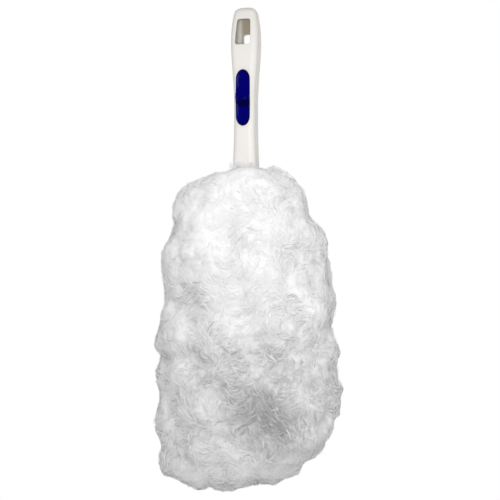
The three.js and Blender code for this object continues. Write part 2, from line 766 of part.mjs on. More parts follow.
// The pile with its pocket, its mouth and the recess for the handle's end
function pileBody() {
  const recess = neckClearance;
  const neck = loft(
    [socketZ - 1, 0].map((z) => {
      const halfWidth = Math.max(neckWidth, waistWidth) / 2 + recess;
      return roundedRing(halfWidth, gripDepth / 2 + recess, edgeRadius, z);
    }),
  );
  const pocket = flatTube(liningWidth + 2 * gap, liningDepth + 2 * gap, 0, liningFootZ - gap, 0);
  const { width, depth } = bindingOuter;
  const mouth = flatTube(width + 2 * gap, depth + 2 * gap, 0, bindingFootZ - gap, 0);
  return pileForm().subtract(neck).subtract(pocket).subtract(mouth).subtract(seamTape(gap));
}

const shell = { color: 0xefece6, roughness: 0.42 };
const navy = { color: 0x08086a, roughness: 0.2 };
const acetal = { color: 0xe4e2da, roughness: 0.5 };
const steel = { color: 0xb9bcc0, roughness: 0.3, metalness: 1 };
const flexible = { color: 0xd6dadc, roughness: 0.5 };
const knit = { color: 0xf2f2f0, roughness: 0.9 };
const tape = { color: 0xe6e6e4, roughness: 0.85 };
const fleece = { color: 0xf4f4f4, roughness: 1 };

const duster = new THREE.Group();
duster.name = "hand_duster";

function put(name, shape, look) {
  const mesh = new THREE.Mesh(geometryOf(shape), new THREE.MeshStandardMaterial(look));
  mesh.name = name;
  mesh.position.y = -seatY;
  duster.add(mesh);
}

const handle = handleBody();
put("handle_front_shell", handle.intersect(block(-far, far, -far, seamY - seamGap / 2, -far, far)), shell);
put("handle_rear_shell", handle.intersect(block(-far, far, seamY + seamGap / 2, far, -far, far)), shell);
for (const { name, x, z } of screws) {
  put(name, screw(x, z, handleHalfDepth(z) - screwRecess, innerFrontY + gap), steel);
}
put("thumb_slide", thumbSlide(), navy);
put("release_bar", releaseBar(), acetal);
put("slide_screw", screw(0, slideZ, barBack, frontY + 1 + gap), steel);
put("return_spring", returnSpring(), steel);
put("socket_bush", socketBush(), acetal);
put("latch_leaf", latchLeaf(), steel);
put("blade_frame", bladeFrame(), flexible);
put("sleeve_lining", sleeveLining(), knit);
put("mouth_binding", mouthBinding(), tape);
put("side_seam", seamTape(0), tape);
const pile = pileBody();
put("pile_front", pile.intersect(block(-far, far, -far, -gap / 2, -2 * far, far)), fleece);
put("pile_rear", pile.intersect(block(-far, far, gap / 2, far, -2 * far, far)), fleece);

export default duster;
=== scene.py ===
import math

import bpy
import numpy as np
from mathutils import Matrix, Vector
from mathutils.bvhtree import BVHTree


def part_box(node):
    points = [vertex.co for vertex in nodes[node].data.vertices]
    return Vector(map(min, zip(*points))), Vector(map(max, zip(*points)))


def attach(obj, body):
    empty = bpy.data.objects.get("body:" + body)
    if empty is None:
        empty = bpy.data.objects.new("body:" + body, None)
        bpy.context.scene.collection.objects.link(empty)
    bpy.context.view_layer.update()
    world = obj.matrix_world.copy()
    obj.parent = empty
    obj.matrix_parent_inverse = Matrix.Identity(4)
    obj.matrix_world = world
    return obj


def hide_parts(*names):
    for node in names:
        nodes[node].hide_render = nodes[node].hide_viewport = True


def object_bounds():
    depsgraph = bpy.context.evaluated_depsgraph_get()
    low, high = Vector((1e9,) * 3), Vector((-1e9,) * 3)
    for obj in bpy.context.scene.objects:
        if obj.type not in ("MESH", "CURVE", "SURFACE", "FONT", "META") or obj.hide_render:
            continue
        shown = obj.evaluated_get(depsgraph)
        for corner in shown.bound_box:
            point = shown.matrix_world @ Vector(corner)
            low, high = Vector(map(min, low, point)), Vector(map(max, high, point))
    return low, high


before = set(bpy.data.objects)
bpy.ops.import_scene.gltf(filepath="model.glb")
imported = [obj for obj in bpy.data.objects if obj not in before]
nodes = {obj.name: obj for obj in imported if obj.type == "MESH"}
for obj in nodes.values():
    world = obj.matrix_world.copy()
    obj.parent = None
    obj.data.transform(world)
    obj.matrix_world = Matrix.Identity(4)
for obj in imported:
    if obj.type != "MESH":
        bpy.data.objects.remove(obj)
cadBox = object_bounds()
scene = bpy.context.scene
scene.view_settings.view_transform = "Standard"
print("frame loaded:", len(nodes), "nodes")

bladeLow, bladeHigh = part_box("blade_frame")
middleY = (bladeLow.y + bladeHigh.y) / 2  # the plane between the duster's front and rear


# Shader sums: a wire is an output socket that can be added, multiplied and so on
class Wire:
    def __init__(self, look, socket):
        self.look = look
        self.socket = socket

    def combine(self, operation, first, second):
        return self.look.add("Math", {"operation": operation}, {0: first, 1: second})["Value"]

    def __add__(self, other):
        return self.combine("ADD", self, other)

    def __radd__(self, other):
        return self.combine("ADD", other, self)

    def __sub__(self, other):
        return self.combine("SUBTRACT", self, other)

    def __rsub__(self, other):
        return self.combine("SUBTRACT", other, self)

    def __mul__(self, other):
        return self.combine("MULTIPLY", self, other)

    def __rmul__(self, other):
        return self.combine("MULTIPLY", other, self)


class Placed:
    def __init__(self, look, node):
        self.look = look
        self.node = node

    def __getitem__(self, name):
        return Wire(self.look, self.node.outputs[name])


class Look:
    def __init__(self, tree):
        self.tree = tree
        self.tree.nodes.clear()

    def add(self, kind, settings=None, sockets=None):
        node = self.tree.nodes.new("ShaderNode" + kind)
        for name, value in (settings or {}).items():
            setattr(node, name, value)
        for name, value in (sockets or {}).items():
            if isinstance(value, Wire):
                self.tree.links.new(value.socket, node.inputs[name])
            else:
                node.inputs[name].default_value = value
        return Placed(self, node)


def newMaterial(name):
    material = bpy.data.materials.new(name)
    material.use_nodes = True
    return material, Look(material.node_tree)


def finishMaterial(look, sockets):
    shader = look.add("BsdfPrincipled", {}, sockets)
    look.add("OutputMaterial", {}, {"Surface": shader["BSDF"]})


def blendColours(look, factor, first, second):
    mix = look.add("Mix", {"data_type": "RGBA"}, {0: factor, 6: first, 7: second})
    return Wire(look, mix.node.outputs[2])


# Camera at the photo's view, a little to the right of straight on
view = {
    "azimuth": 17.0,
    "distance": 1.2,
    "span": 0.45,
    "aimRight": 0.0034,
    "aimUp": -0.1947,
    "sensor": 36.0,
}


def makeCamera():
    turn = math.radians(view["azimuth"])
    right = Vector((math.cos(turn), math.sin(turn), 0))
    back = Vector((math.sin(turn), -math.cos(turn), 0))
    aim = Vector((0, middleY, view["aimUp"])) + right * view["aimRight"]
    data = bpy.data.cameras.new("camera")
    data.sensor_width = view["sensor"]
    data.lens = view["sensor"] * view["distance"] / view["span"]
    camera = bpy.data.objects.new("camera", data)
    camera.location = aim + back * view["distance"]
    camera.rotation_euler = (aim - camera.location).to_track_quat("-Z", "Y").to_euler()
    scene.collection.objects.link(camera)
    scene.camera = camera
    return aim, right, back


aim, right, back = makeCamera()

# Lamps: place is metres to the right, towards the camera and up from the aim
lamps = [
    {"name": "key", "place": (-0.05, 0.42, 0.12), "size": 0.2, "power": 1.09},
    {"name": "side", "place": (0.7, 0.3, 0.1), "size": 0.5, "power": 0.9},
    {"name": "rear", "place": (0.2, -1.0, 0.5), "size": 0.9, "power": 4.6},
    {"name": "low", "place": (-0.1, 0.40, -0.50), "size": 0.4, "power": 0.22},
]
surround = {"light": 0.456, "shown": 1.0}
paperFloor = {
    "below": 0.35,
    "radius": 1.2,
    "corners": 96,
    "grain": 90.0,
    "dark": (0.86, 0.86, 0.86, 1),
    "pale": (0.9, 0.9, 0.9, 1),
}


def makeLights():
    for lamp in lamps:
        across, near, up = lamp["place"]
        data = bpy.data.lights.new(lamp["name"], "AREA")
        data.size = lamp["size"]
        data.energy = lamp["power"]
        light = bpy.data.objects.new(lamp["name"], data)
        light.location = aim + right * across + back * near + Vector((0, 0, up))
        light.rotation_euler = (aim - light.location).to_track_quat("-Z", "Y").to_euler()
        scene.collection.objects.link(light)
    world = bpy.data.worlds.new("studio")
    world.use_nodes = True
    scene.world = world
    look = Look(world.node_tree)
    rays = look.add("LightPath")
    seen = rays["Is Camera Ray"]
    shown = surround["shown"] * seen + surround["light"] * (1 - seen)
    sky = look.add("Background", {}, {"Color": (1, 1, 1, 1), "Strength": shown})
    look.add("OutputWorld", {}, {"Surface": sky["Background"]})


def makeFloor():
    low = cadBox[0].z - paperFloor["below"]
    radius = paperFloor["radius"]
    angles = np.linspace(0, 2 * math.pi, paperFloor["corners"], endpoint=False)
    points = [(radius * math.cos(a), middleY + radius * math.sin(a), low) for a in angles]
    mesh = bpy.data.meshes.new("floor")
    mesh.from_pydata(points, [], [tuple(range(len(points)))])
    floor = bpy.data.objects.new("floor", mesh)
    scene.collection.objects.link(floor)
    material, look = newMaterial("floor_paper")
    grain = look.add("TexNoise", {}, {"Scale": paperFloor["grain"], "Detail": 4.0})["Fac"]
    colour = blendColours(look, grain, paperFloor["dark"], paperFloor["pale"])
    finishMaterial(look, {"Base Color": colour, "Roughness": 0.9})
    mesh.materials.append(material)


makeLights()
makeFloor()
print("studio ready")


def smoothPiece(name, points, faces):
    mesh = bpy.data.meshes.new(name)
    mesh.from_pydata([tuple(p) for p in points], [], faces)
    mesh.update()
    mesh.shade_smooth()
    piece = bpy.data.objects.new(name, mesh)
    scene.collection.objects.link(piece)
    return piece


# Materials: colours are linear, and scales count per metre
def noise(look, place, scale, detail, distortion=0.0):
    sockets = {"Vector": place, "Scale": scale, "Detail": detail, "Distortion": distortion}
    return look.add("TexNoise", {}, sockets)["Fac"]


creamLook = {
    "dark": (0.80, 0.776, 0.735, 1),
    "pale": (0.84, 0.817, 0.779, 1),
    # inside: painted shade of the inner walls seen through the hanging window
    "inside": (0.385, 0.335, 0.245, 1),
    "cloud": 60.0,
    "grain": 2600.0,
    "grainDepth": 0.0002,
}


def creamPlastic():
    material, look = newMaterial("cream_plastic")
    place = look.add("TexCoord")["Object"]
    cloud = noise(look, place, creamLook["cloud"], 3.0)
    grain = noise(look, place, creamLook["grain"], 2.0)
    # painted shade on the inner walls near the hanging window
    shadeShare = look.add("Attribute", {"attribute_name": "windowShade"})["Fac"]
    outer = blendColours(look, cloud, creamLook["dark"], creamLook["pale"])
    bump = look.add("Bump", {}, {"Strength": 0.06, "Distance": creamLook["grainDepth"], "Height": grain})
    finishMaterial(
        look,
        {
            "Base Color": blendColours(look, shadeShare, outer, creamLook["inside"]),
            "Roughness": 0.40 + 0.12 * cloud,
            "Normal": bump["Normal"],
            "Specular IOR Level": 0.4,
        },
    )
    return material


navyLook = {
    "dark": (0.0, 0.0, 0.114, 1),
    "pale": (0.0, 0.0, 0.162, 1),
    # shaded: painted shadow below the ridge and painted shade on the rim
    "shaded": (0.0, 0.0, 0.012, 1),
    "cloud": 220.0,
}


def navyPlastic():
    material, look = newMaterial("navy_plastic")
    place = look.add("TexCoord")["Object"]
    cloud = noise(look, place, navyLook["cloud"], 3.0)
    # the shade attribute holds the painted shadow below the ridge and painted shade on the rim
    shade = look.add("Attribute", {"attribute_name": "shade"})["Fac"]
    face = blendColours(look, cloud, navyLook["dark"], navyLook["pale"])
    colour = blendColours(look, shade, face, navyLook["shaded"])
    rough = 0.13 + 0.06 * cloud
    finishMaterial(look, {"Base Color": colour, "Roughness": rough, "Specular IOR Level": 0.03})
    return material


naturalLook = {"dark": (0.74, 0.73, 0.69, 1), "pale": (0.82, 0.81, 0.77, 1), "cloud": 120.0}
flexibleLook = {"dark": (0.62, 0.65, 0.67, 1), "pale": (0.74, 0.76, 0.78, 1), "cloud": 120.0}


def plainMoulding(name, shades):
    material, look = newMaterial(name)
    place = look.add("TexCoord")["Object"]
    cloud = noise(look, place, shades["cloud"], 4.0)
    colour = blendColours(look, cloud, shades["dark"], shades["pale"])
    finishMaterial(look, {"Base Color": colour, "Roughness": 0.4 + 0.2 * cloud})
    return material


steelLook = {"dark": (0.55, 0.56, 0.58, 1), "pale": (0.72, 0.73, 0.74, 1), "cloud": 900.0}


def platedSteel():
    material, look = newMaterial("plated_steel")
    place = look.add("TexCoord")["Object"]
    cloud = noise(look, place, steelLook["cloud"], 4.0)
    colour = blendColours(look, cloud, steelLook["dark"], steelLook["pale"])
    finishMaterial(look, {"Base Color": colour, "Roughness": 0.22 + 0.25 * cloud, "Metallic": 1.0})
    return material


knitLook = {"dark": (0.7, 0.7, 0.7, 1), "pale": (0.9, 0.9, 0.89, 1), "pitch": 420.0, "depth": 4e-4}
tapeLook = {"dark": (0.62, 0.62, 0.61, 1), "pale": (0.86, 0.86, 0.85, 1), "pitch": 700.0, "depth": 4e-4}


def knitCloth(name, shades):
    material, look = newMaterial(name)
    place = look.add("TexCoord")["Object"]
    bands = {"Vector": place, "Scale": shades["pitch"], "Distortion": 1.5}
    across = look.add("TexWave", {"bands_direction": "X"}, bands)["Fac"]
    along = look.add("TexWave", {"bands_direction": "Z"}, bands)["Fac"]
    weave = across * along
    colour = blendColours(look, weave, shades["dark"], shades["pale"])
    bump = look.add("Bump", {}, {"Strength": 0.5, "Distance": shades["depth"], "Height": weave})["Normal"]
    finishMaterial(look, {"Base Color": colour, "Roughness": 0.9, "Normal": bump})
    return material


fleeceLook = {
    "dark": (0.52, 0.52, 0.52, 1),
    "pale": (0.95, 0.95, 0.95, 1),
    "cloud": 22.0,
    "cloudTint": 0.24,
    "groundCloud": 30.0,
    "fuzz": 700.0,
    "fuzzTint": 0.13,
    "fuzzDepth": 0.0012,
}


def fleeceFibre():
    material, look = newMaterial("fleece_fibre")
    place = look.add("TexCoord")["Object"]
    # the tint attribute holds the fibre's tone with painted shade and painted light taken off
    tint = look.add("Attribute", {"attribute_name": "tint"})["Fac"]
    cloud = noise(look, place, fleeceLook["cloud"], 3.0)
    paleness = tint + fleeceLook["cloudTint"] * cloud - fleeceLook["cloudTint"] / 2
    colour = blendColours(look, paleness, fleeceLook["dark"], fleeceLook["pale"])
    finishMaterial(look, {"Base Color": colour, "Roughness": 0.85, "Specular IOR Level": 0.12})
    return material


def fleeceGround():
    material, look = newMaterial("fleece_ground")
    place = look.add("TexCoord")["Object"]
    cloud = noise(look, place, fleeceLook["groundCloud"], 5.0)
    fuzz = noise(look, place, fleeceLook["fuzz"], 4.0, 2.0)
    # the tint attribute holds the core's tone with painted shade and painted light taken off
    tint = look.add("Attribute", {"attribute_name": "tint"})["Fac"]
    paleness = tint + fleeceLook["fuzzTint"] * (cloud + fuzz) - fleeceLook["fuzzTint"]
    bump = look.add("Bump", {}, {"Strength": 0.25, "Distance": fleeceLook["fuzzDepth"], "Height": fuzz})
    finishMaterial(
        look,
        {
            "Base Color": blendColours(look, paleness, fleeceLook["dark"], fleeceLook["pale"]),
            "Roughness": 0.95,
            "Normal": bump["Normal"],
            "Specular IOR Level": 0.1,
        },
    )
    return material


cream = creamPlastic()
navy = navyPlastic()
natural = plainMoulding("natural_moulding", naturalLook)
flexible = plainMoulding("flexible_moulding", flexibleLook)
steel = platedSteel()
knit = knitCloth("lining_knit", knitLook)
tape = knitCloth("woven_tape", tapeLook)
fibre = fleeceFibre()
ground = fleeceGround()
cadLooks = {
    "shell_screw_upper": steel,
    "shell_screw_left": steel,
    "shell_screw_right": steel,
    "slide_screw": steel,
    "return_spring": steel,
    "latch_leaf": steel,
    "release_bar": natural,
    "socket_bush": natural,
    "blade_frame": flexible,
    "sleeve_lining": knit,
    "mouth_binding": tape,
    "side_seam": tape,
}
for name, material in cadLooks.items():
    nodes[name].data.materials.clear()
    nodes[name].data.materials.append(material)
print("materials ready")

# Handle shells: the CAD solids with moulded edges, with painted shade where their walls shut them in
moulding = {
    "weld": 1e-6,
    "voxel": 0.00045,
    "passes": 6,
    "factor": 0.5,
    "insideFrom": -0.02,
    "rays": 7,
    "rayUp": 0.6,
    "rayOut": 0.8,
    "reach": 0.03,
    "clear": 0.0012,
    "sideTone": 0.1,
    "leftTone": 0.22,
    "leftEdge": -0.0075,
    "leftBlend": 0.003,
}


def shellTree():
    points = []
    faces = []
    for name in ("handle_front_shell", "handle_rear_shell"):
        mesh = nodes[name].data
        start = len(points)
        points += [vertex.co.copy() for vertex in mesh.vertices]
        faces += [tuple(start + i for i in p.vertices) for p in mesh.polygons]
    return BVHTree.FromPolygons(points, faces)


walls = shellTree()


# Painted shade near the hanging window: the share of a fan of rays from the point that meets a wall, less
# on walls facing sideways and towards the window's left side
def windowShade(vertex):
    if vertex.co.z < moulding["insideFrom"]:
        return 0.0
    normal = vertex.normal
    side = normal.orthogonal().normalized()
    other = normal.cross(side)
    start = vertex.co + normal * moulding["clear"]
    hits = 0
    for k in range(moulding["rays"]):
        turn = 2 * math.pi * k / moulding["rays"]
        aside = math.cos(turn) * side + math.sin(turn) * other
        ray = moulding["rayUp"] * normal + moulding["rayOut"] * aside
        hits += walls.ray_cast(start, ray, moulding["reach"])[0] is not None
    sideTone = moulding["sideTone"] + (1 - moulding["sideTone"]) * abs(normal.y)
    inward = min(max((vertex.co.x - moulding["leftEdge"]) / moulding["leftBlend"], 0), 1)
    leftTone = moulding["leftTone"] + (1 - moulding["leftTone"]) * inward
    return hits / moulding["rays"] * sideTone * leftTone


def mouldedShell(node, name):
    mesh = nodes[node].data.copy()
    shell = bpy.data.objects.new(name, mesh)
    scene.collection.objects.link(shell)
    weld = shell.modifiers.new("weld", "WELD")
    weld.merge_threshold = moulding["weld"]
    remesh = shell.modifiers.new("remesh", "REMESH")
    remesh.mode = "VOXEL"
    remesh.voxel_size = moulding["voxel"]
    remesh.use_smooth_shade = True
    smooth = shell.modifiers.new("ease", "SMOOTH")
    smooth.factor = moulding["factor"]
    smooth.iterations = moulding["passes"]
    graph = bpy.context.evaluated_depsgraph_get()
    made = bpy.data.meshes.new_from_object(shell.evaluated_get(graph))
    shell.modifiers.clear()
    shell.data = made
    made.materials.clear()
    made.materials.append(cream)
    # painted shade of the inner walls, as a point attribute
    shares = np.array([windowShade(vertex) for vertex in made.vertices], np.float32)
    made.attributes.new("windowShade", "FLOAT", "POINT").data.foreach_set("value", shares)
    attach(shell, "handle")
    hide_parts(node)
    print(name, len(made.polygons), "faces")


mouldedShell("handle_front_shell", "front_shell")
mouldedShell("handle_rear_shell", "rear_shell")

# Thumb slide: dished face with a rim, and a ridge for the thumb, with a painted shadow below the ridge and
# painted shade on the rim
slide = {
    "endRise": 0.009,
    "endTurn": 6,
    "rim": 0.0024,
    "dish": 0.0013,
    "dishPower": 5,
    "ridge": 0.0028,
    "ridgeOffset": -0.0016,
    "ridgeAbove": 0.0048,
    "ridgeBelow": 0.0020,
    "ridgeFall": 0.3,
    "edge": 0.0009,
    "edgeFrom": 0.88,
    "edgeShare": 0.12,
    "under": 0.0003,
    "shadeAt": -0.0052,
    "shadeSize": 0.0034,
    "shadePower": 4,
    "ridgeShade": 0.75,
    "rimShadeFrom": 0.86,
    "rimShadeShare": 0.14,
    "around": 120,
    "rings": 40,
    "firstRing": 0.03,
    "ringPower": 1.6,
}


def slideFace(x, z, out, halfWidth):
    dish = slide["rim"] - slide["dish"] * (1 - out ** slide["dishPower"])
    width = np.where(z > slide["ridgeOffset"], slide["ridgeAbove"], slide["ridgeBelow"])
    hump = slide["ridge"] * np.exp(-(((z - slide["ridgeOffset"]) / width) ** 2))
    past = np.clip((out - slide["edgeFrom"]) / slide["edgeShare"], 0, 1)
    rounding = slide["edge"] * (1 - np.sqrt(np.clip(1 - past**2, 0, 1)))
    return dish + hump * (1 - slide["ridgeFall"] * (x / halfWidth) ** 2) - rounding


def makeSlide():
    low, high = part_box("thumb_slide")
    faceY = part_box("handle_front_shell")[0].y
    halfWidth = (high.x - low.x) / 2
    halfLength = (high.z - low.z) / 2
    middleX = (low.x + high.x) / 2
    middleZ = (low.z + high.z) / 2
    angles = np.linspace(0, 2 * math.pi, slide["around"], endpoint=False)
    straight = halfLength - slide["endRise"]
    outlineX = halfWidth * np.cos(angles)
    reach = np.clip(np.sin(angles) * slide["endTurn"], -1, 1)
    outlineZ = slide["endRise"] * np.sin(angles) + straight * reach
    points = []
    shades = []
    rings = []
    outs = 1 - (1 - np.linspace(slide["firstRing"], 1, slide["rings"])) ** slide["ringPower"]
    for out in outs:
        x = outlineX * out
        z = outlineZ * out
        y = faceY - slideFace(x, z, np.full_like(x, out), halfWidth)
        rings.append(range(len(points), len(points) + len(x)))
        points += list(zip(middleX + x, y, middleZ + z))
        # painted shadow cast down by the ridge, and painted shade on the rim
        below = np.exp(-(((z - slide["shadeAt"]) / slide["shadeSize"]) ** slide["shadePower"]))
        rimShade = np.clip((out - slide["rimShadeFrom"]) / slide["rimShadeShare"], 0, 1) ** 2
        shades += list(np.clip(slide["ridgeShade"] * below + rimShade, 0, 1))
    underY = faceY - slide["under"]
    rings.append(range(len(points), len(points) + slide["around"]))
    points += list(zip(middleX + outlineX, np.full_like(outlineX, underY), middleZ + outlineZ))
    faces = []
    count = slide["around"]
    for inner, outer in zip(rings, rings[1:]):
        for j in range(count):
            k = (j + 1) % count
            faces.append((inner[j], outer[j], outer[k], inner[k]))
    faces.append(tuple(reversed(rings[0])))
    faces.append(tuple(rings[-1]))
    shades += [1.0] * count
    cap = smoothPiece("thumb_cap", points, faces)
    cap.data.materials.append(navy)
    layer = cap.data.attributes.new("shade", "FLOAT", "POINT")
    layer.data.foreach_set("value", np.array(shades, np.float32))
    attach(cap, "slide")
    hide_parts("thumb_slide")
    print("thumb cap", len(faces), "faces")


makeSlide()

# Fleece: a lumpy cup with a neck for the handle, a mouth and a pocket for the lining
fleece = {
    "seed": 7,
    "around": 260,
    "rows": 175,
    "firstRow": 0.08,
    "capRows": 8,
    "capReach": 0.97,
    "fanFrom": -0.16,
    "fanBlend": 0.09,
    "fanRows": 44,
    "fanOut": 0.4,
    "far": 0.3,
    "slit": 0.0004,
    "besideSlit": 0.0012,
    "gridPasses": 4,
    "sink": 0.0027,
    "clumps": 700,
    "clumpSize": (0.009, 0.016),
    "clumpHeight": (0.0004, 0.0034),
    "lumps": 1500,
    "lumpSize": (0.005, 0.009),
    "lumpHeight": (0.0002, 0.0010),
    "reliefPasses": 2,
    "levelPasses": 400,
    "hollowGrey": 40,
    "calm": 2.6,
    "leastRelief": 0.35,
    "tint": 0.91,
    "openingPower": 5,
    "neck": (0.0121, 0.0104),
    "neckFoot": -0.1355,
    "spare": 0.0004,
    "under": 0.0004,
}
# Painted shade on the front of the fleece: places drawn darker, or with a minus painted light that makes
# them paler and more even
paintedShades = [
    {"across": 0.038, "up": -0.351, "reach": (0.030, 0.028), "grey": 0.50},
    {"across": 0.012, "up": -0.330, "reach": (0.085, 0.050), "grey": 0.18},
    {"across": -0.022, "up": -0.322, "reach": (0.009, 0.009), "grey": -0.2},
    {"across": 0.006, "up": -0.190, "reach": (0.035, 0.030), "grey": -0.10},
    {"across": 0.056, "up": -0.308, "reach": (0.028, 0.030), "grey": 0.36},
    {"across": 0.026, "up": -0.290, "reach": (0.022, 0.011), "grey": 0.25},
    {"across": 0.000, "up": -0.222, "reach": (0.032, 0.014), "grey": -0.20},
    {"across": 0.020, "up": -0.258, "reach": (0.026, 0.012), "grey": -0.18},
    {"across": -0.070, "up": -0.275, "reach": (0.020, 0.030), "grey": -0.25},
    {"across": -0.012, "up": -0.388, "reach": (0.060, 0.022), "grey": -0.20},
    {"across": 0.062, "up": -0.198, "reach": (0.022, 0.026), "grey": 0.26},
    {"across": 0.046, "up": -0.140, "reach": (0.016, 0.016), "grey": 0.16},
    {"across": 0.066, "up": -0.370, "reach": (0.018, 0.018), "grey": -0.20},
    {"across": 0.036, "up": -0.248, "reach": (0.022, 0.012), "grey": -0.16},
    {"across": -0.012, "up": -0.165, "reach": (0.020, 0.016), "grey": -0.16},
    {"across": -0.052, "up": -0.236, "reach": (0.020, 0.016), "grey": 0.24},
    {"across": -0.026, "up": -0.215, "reach": (0.020, 0.012), "grey": -0.14},
    {"across": 0.062, "up": -0.226, "reach": (0.013, 0.018), "grey": 0.18},
    {"across": 0.010, "up": -0.305, "reach": (0.030, 0.012), "grey": 0.10},
    {"across": 0.005, "up": -0.187, "reach": (0.012, 0.011), "grey": 0.30},
]
# Bulges of the outline in the camera's view, or with a minus hollows; the foot's are placed across
edges = [
    {"side": "left", "at": -0.164, "reach": 0.016, "out": -0.0026},
    {"side": "left", "at": -0.200, "reach": 0.006, "out": 0.0014},
    {"side": "left", "at": -0.231, "reach": 0.009, "out": -0.0020},
    {"side": "left", "at": -0.246, "reach": 0.009, "out": -0.0014},
    {"side": "left", "at": -0.267, "reach": 0.007, "out": -0.0030},
    {"side": "left", "at": -0.284, "reach": 0.007, "out": 0.0032},
    {"side": "left", "at": -0.306, "reach": 0.009, "out": 0.0014},
    {"side": "left", "at": -0.398, "reach": 0.006, "out": 0.0065},
    {"side": "right", "at": -0.134, "reach": 0.008, "out": -0.0024},
    {"side": "right", "at": -0.166, "reach": 0.006, "out": -0.0030},
    {"side": "right", "at": -0.184, "reach": 0.005, "out": 0.0017},
    {"side": "right", "at": -0.227, "reach": 0.010, "out": -0.0033},
    {"side": "right", "at": -0.252, "reach": 0.009, "out": 0.0027},
    {"side": "right", "at": -0.294, "reach": 0.012, "out": -0.0016},
    {"side": "right", "at": -0.330, "reach": 0.018, "out": -0.0028},
    {"side": "right", "at": -0.366, "reach": 0.010, "out": -0.0020},
    {"side": "right", "at": -0.383, "reach": 0.004, "out": -0.0035},
    {"side": "right", "at": -0.389, "reach": 0.005, "out": 0.0066},
    {"side": "right", "at": -0.399, "reach": 0.005, "out": -0.0060},
    {"side": "foot", "at": -0.0735, "reach": 0.005, "out": 0.0020},
    {"side": "foot", "at": -0.0463, "reach": 0.008, "out": 0.0030},
    {"side": "foot", "at": -0.0340, "reach": 0.004, "out": -0.0024},
    {"side": "foot", "at": 0.0050, "reach": 0.013, "out": -0.0038},
]
random = np.random.default_rng(fleece["seed"])


def pileTree():
    points = []
    faces = []
    for name, side in (("pile_front", 1), ("pile_rear", -1)):
        mesh = nodes[name].data
        start = len(points)
        for vertex in mesh.vertices:
            point = vertex.co.copy()
            if abs(point.y - middleY) < fleece["slit"]:
                point.y = middleY + side * fleece["slit"]  # closes the slit between the halves
            points.append(point)
        faces += [tuple(start + i for i in p.vertices) for p in mesh.polygons]
    return BVHTree.FromPolygons(points, faces)


def smoothGrid(grid, passes):
    for _ in range(passes):
        beside = (np.roll(grid, 1, 1) + np.roll(grid, -1, 1)) / 2
        between = grid.copy()
        between[1:-1] = (grid[:-2] + grid[2:]) / 2
        grid = 0.5 * grid + 0.25 * beside + 0.25 * between
    return grid


pileAngles = (np.arange(fleece["around"]) + 0.5) * 2 * math.pi / fleece["around"]


# Distance from the axis to the wall of an opening with rounded corners
def openingReach(halfWidth, halfDepth):
    across = np.abs(np.cos(pileAngles)) / halfWidth
    deep = np.abs(np.sin(pileAngles)) / halfDepth
    power = fleece["openingPower"]
    return (across**power + deep**power) ** (-1 / power)


def openingRing(reach, z):
    x = reach * np.cos(pileAngles)
    y = middleY + reach * np.sin(pileAngles)
    return np.stack([x, y, np.full_like(x, z)], 1)


def halfSize(node):
    low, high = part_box(node)
    return (high.x - low.x) / 2 + fleece["spare"], (high.y - low.y) / 2 + fleece["spare"]


mouthReach = openingReach(*halfSize("mouth_binding"))
neckReach = np.maximum(openingReach(*fleece["neck"]), mouthReach)
pocketReach = openingReach(*halfSize("sleeve_lining"))


# Where the pile is first met on the way in from outside to the centre
def firstHit(pile, centre, out):
    return pile.ray_cast(centre + out * fleece["far"], -out)[0]


# Rows of points round the solid pile: a cap at the foot, level rows, then a fan over the top to the neck
def pileGrid():
    pile = pileTree()
    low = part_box("pile_front")[0].z
    fan = Vector((0, middleY, fleece["fanFrom"]))
    outward = [Vector((math.cos(a), math.sin(a), 0)) for a in pileAngles]
    rings = []
    for step in np.linspace(fleece["firstRow"], math.pi / 2, fleece["rows"]):
        z = low + (fan.z - low) * (1 - math.cos(step))
        inside = Vector((0, middleY + fleece["besideSlit"], z))
        ends = firstHit(pile, inside, Vector((-1, 0, 0))).x + firstHit(pile, inside, Vector((1, 0, 0))).x
        share = min((fan.z - z) / fleece["fanBlend"], 1)
        centre = Vector((ends / 2 * share, middleY, z))
        rings.append([tuple(firstHit(pile, centre, level)) for level in outward])
    top = []
    for level, reach in zip(outward, neckReach + fleece["spare"]):
        above = Vector((0, middleY, 0)) + level * reach
        rim = pile.ray_cast(above, Vector((0, 0, -1)))[0]
        out = fleece["fanOut"] * (firstHit(pile, fan, level) - fan).length
        rise = math.atan2(rim.z - fan.z, reach - out)
        line = []
        for k in range(1, fleece["fanRows"]):
            turn = rise * k / fleece["fanRows"]
            ray = level * math.cos(turn) + Vector((0, 0, math.sin(turn)))
            line.append(tuple(firstHit(pile, fan + level * out, ray)))
        top.append(line + [tuple(rim)])
    grid = np.array(rings)
    inward = np.cos(np.linspace(0, math.pi / 2, fleece["capRows"] + 1)[1:] * fleece["capReach"])
    foot = grid[0].mean(0) + (grid[0] - grid[0].mean(0)) * inward[:, None, None]
    whole = np.concatenate([foot[::-1], grid, np.array(top).transpose(1, 0, 2)])
    return smoothGrid(whole, fleece["gridPasses"])


def gridSlopes(grid):
    alongRow = (np.roll(grid, -1, 1) - np.roll(grid, 1, 1)) / 2
    upRows = np.gradient(grid, axis=0)
    normal = np.cross(alongRow, upRows)
    area = np.linalg.norm(normal, axis=2, keepdims=True)
    return upRows, alongRow, normal / np.maximum(area, 1e-12), area[..., 0]


# Rounded tufts: each point takes the height of the tallest dome over it
def domes(points, count, sizes, heights, area):
    share = (area / area.sum()).ravel()
    centres = points.reshape(-1, 3)[random.choice(share.size, count, p=share)]
    size = random.uniform(*sizes, count)
    height = random.uniform(*heights, count)
    tallest = np.zeros(points.shape[:2])
    for i, row in enumerate(points):
        gaps = ((row[:, None, :] - centres) ** 2).sum(2)
        tallest[i] = np.maximum(height * (1 - gaps / size**2), 0).max(1)
    return tallest


